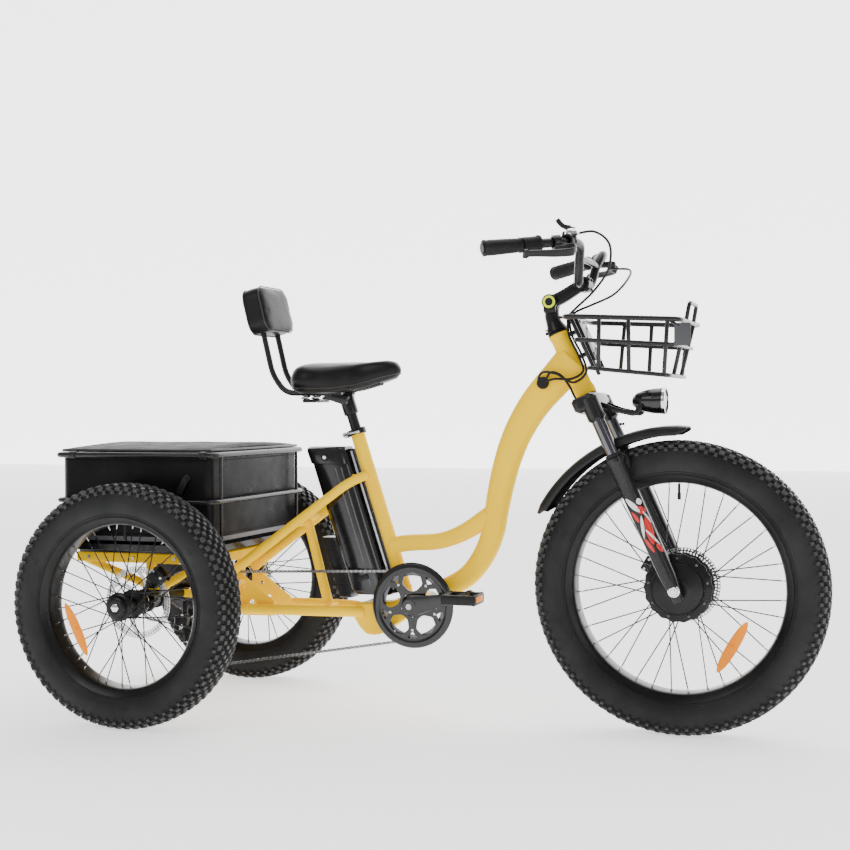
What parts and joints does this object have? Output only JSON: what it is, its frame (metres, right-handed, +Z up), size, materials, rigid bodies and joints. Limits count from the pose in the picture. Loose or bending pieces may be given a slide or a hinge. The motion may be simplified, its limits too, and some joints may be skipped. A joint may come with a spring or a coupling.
{
  "type": "adult tricycle",
  "caption": "Step-through electric adult tricycle with fat tyres, suspension fork, padded seat with backrest, wire basket and lidded rear cargo box.",
  "frame": {"origin": "centre of the tricycle's footprint, on the ground", "axes": "+X forward, +Y to the rider's left, +Z up"},
  "size_m": [1.9574, 0.806, 1.2215],
  "materials": {
    "frame_yellow": "gloss golden yellow paint",
    "black_paint": "semi-gloss black powder coat",
    "black_alloy": "black anodised alloy, satin",
    "tyre_rubber": "matt black tread rubber",
    "grip_rubber": "matt moulded rubber",
    "steel": "bright plated and ground steel",
    "black_plastic": "fine grained moulding",
    "gloss_plastic": "gloss black moulding",
    "liner": "coated black cloth with a shine",
    "seat_vinyl": "grained black vinyl",
    "chain_steel": "dark oiled steel",
    "chrome": "polished chrome",
    "reflector_orange": "prismatic orange plastic",
    "accent_lime": "gloss yellow-green ring",
    "lamp_glass": "clear lens"
  },
  "bodies": {
    "frame": {"head_and_down_tube": "frame_yellow", "seat_and_mid_tube": "frame_yellow", "bottom_bracket_and_chainstays": "frame_yellow", "seat_stays": "frame_yellow", "rear_subframe": "frame_yellow", "axle_housing": "black_paint", "right_rear_caliper": "black_alloy", "left_rear_caliper": "black_alloy", "derailleur": "black_plastic", "chain": "chain_steel", "cargo_rack": "black_paint", "cargo_liner": "liner", "front_basket": "black_paint", "controller": "black_plastic", "seat_clamp": "black_alloy", "battery_rail": "gloss_plastic"},
    "steering_column": {"fork_crown_and_stanchions": "black_alloy", "stem_neck": "black_alloy", "control_cables": "black_plastic"},
    "fork_lower_legs": {"fork_lowers": "black_paint", "front_fender": "black_paint", "front_caliper": "black_alloy"},
    "front_wheel": {"front_tyre": "tyre_rubber", "front_rim": "black_alloy", "front_hub_motor": "black_alloy"},
    "lamp": {"headlight": "gloss_plastic"},
    "bar": {"stem_arm": "black_alloy", "handlebar": "black_paint", "right_grip": "grip_rubber", "left_grip": "grip_rubber", "right_brake_mount": "black_alloy", "left_brake_mount": "black_alloy", "shifter": "black_plastic"},
    "twist_throttle": {"throttle": "black_plastic"},
    "right_lever": {"right_brake_lever": "black_alloy"},
    "left_lever": {"left_brake_lever": "black_alloy"},
    "shift_lever": {"shifter_lever": "black_plastic"},
    "right_rear_wheel": {"right_rear_tyre": "tyre_rubber", "right_rear_rim": "black_alloy", "right_rear_hub": "black_alloy", "right_rear_rotor": "steel", "right_axle_shaft": "steel"},
    "left_rear_wheel": {"left_rear_tyre": "tyre_rubber", "left_rear_rim": "black_alloy", "left_rear_hub": "black_alloy", "left_rear_rotor": "steel", "left_axle_shaft": "steel"},
    "crankset": {"right_crank_and_chainring": "black_alloy", "left_crank_arm": "black_alloy"},
    "right_pedal_body": {"right_pedal": "black_plastic"},
    "left_pedal_body": {"left_pedal": "black_plastic"},
    "sprockets": {"cassette_and_differential": "steel"},
    "cage": {"derailleur_cage": "black_plastic"},
    "seat": {"seat_post": "black_alloy", "seat_frame": "black_paint", "saddle": "seat_vinyl", "backrest_pad": "seat_vinyl"},
    "post_clamp_lever": {"seat_clamp_lever": "steel"},
    "lid": {"cargo_lid": "black_plastic"},
    "battery_pack": {"battery": "gloss_plastic"}
  },
  "joints": [
    {"name": "steering", "type": "hinge", "parent": "frame", "child": "steering_column", "pos_m": [0.33325, 0, 0.963], "axis": [-0.4106, 0, 0.9118], "range_deg": [-45, 45], "deforming": ["control_cables"]},
    {"name": "fork_travel", "type": "slide", "parent": "steering_column", "child": "fork_lower_legs", "axis": [-0.4106, 0, 0.9118], "range_m": [0, 0.022], "stiffness_N_per_m": 9000, "springref_m": -0.015},
    {"name": "front_wheel_spin", "type": "hinge", "parent": "fork_lower_legs", "child": "front_wheel", "pos_m": [0.62675, 0, 0.352], "axis": [0, 1, 0], "continuous": true},
    {"name": "headlight_tilt", "type": "hinge", "parent": "steering_column", "child": "lamp", "pos_m": [0.53925, 0, 0.786], "axis": [0, 1, 0], "range_deg": [-15, 5]},
    {"name": "stem_angle", "type": "hinge", "parent": "steering_column", "child": "bar", "pos_m": [0.31525, 0, 1.041], "axis": [0, -1, 0], "range_deg": [-15, 35]},
    {"name": "throttle_twist", "type": "hinge", "parent": "bar", "child": "twist_throttle", "pos_m": [0.33396, -0.25846, 1.15541], "axis": [-0.7873, -0.6075, -0.1054], "range_deg": [0, 60], "stiffness_Nm_per_rad": 0.3},
    {"name": "right_brake_squeeze", "type": "hinge", "parent": "bar", "child": "right_lever", "pos_m": [0.42349, -0.23624, 1.13804], "axis": [0, 0, -1], "range_deg": [0, 13], "stiffness_Nm_per_rad": 2},
    {"name": "left_brake_squeeze", "type": "hinge", "parent": "bar", "child": "left_lever", "pos_m": [0.42349, 0.23624, 1.13804], "axis": [0, 0, 1], "range_deg": [0, 13], "stiffness_Nm_per_rad": 2},
    {"name": "gear_lever", "type": "hinge", "parent": "bar", "child": "shift_lever", "pos_m": [0.40725, -0.178, 1.196], "axis": [0, 0, 1], "range_deg": [-25, 40]},
    {"name": "right_rear_wheel_spin", "type": "hinge", "parent": "frame", "child": "right_rear_wheel", "pos_m": [-0.67675, -0.349, 0.302], "axis": [0, 1, 0], "continuous": true},
    {"name": "left_rear_wheel_spin", "type": "hinge", "parent": "frame", "child": "left_rear_wheel", "pos_m": [-0.67675, 0.349, 0.302], "axis": [0, 1, 0], "continuous": true},
    {"name": "crank_spin", "type": "hinge", "parent": "frame", "child": "crankset", "pos_m": [-0.03175, 0, 0.289], "axis": [0, 1, 0], "continuous": true},
    {"name": "right_pedal_spin", "type": "hinge", "parent": "crankset", "child": "right_pedal_body", "pos_m": [0.12475, -0.134, 0.32227], "axis": [0, 1, 0], "continuous": true},
    {"name": "left_pedal_spin", "type": "hinge", "parent": "crankset", "child": "left_pedal_body", "pos_m": [-0.18825, 0.134, 0.25573], "axis": [0, 1, 0], "continuous": true},
    {"name": "sprocket_spin", "type": "hinge", "parent": "frame", "child": "sprockets", "pos_m": [-0.67675, -0.02, 0.302], "axis": [0, 1, 0], "continuous": true},
    {"name": "derailleur_cage_swing", "type": "hinge", "parent": "frame", "child": "cage", "pos_m": [-0.67275, -0.05, 0.214], "axis": [0, 1, 0], "range_deg": [-12, 25], "stiffness_Nm_per_rad": 2.5, "deforming": ["chain"]},
    {"name": "seat_height", "type": "slide", "parent": "frame", "child": "seat", "axis": [-0.3065, 0, 0.9519], "range_m": [-0.02, 0.08]},
    {"name": "post_clamp_release", "type": "hinge", "parent": "frame", "child": "post_clamp_lever", "pos_m": [-0.2261, 0, 0.71489], "axis": [0, -1, 0], "range_deg": [0, 100]},
    {"name": "lid_open", "type": "hinge", "parent": "frame", "child": "lid", "pos_m": [-0.48875, 0, 0.677], "axis": [0, 1, 0], "range_deg": [0, 75]},
    {"name": "battery_slide", "type": "slide", "parent": "frame", "child": "battery_pack", "axis": [-0.3065, 0, 0.9519], "range_m": [0, 0.06]}
  ],
  "couplings": [
    {"joint": "sprocket_spin", "follows": "crank_spin", "ratio": 1.6923}
  ]
}
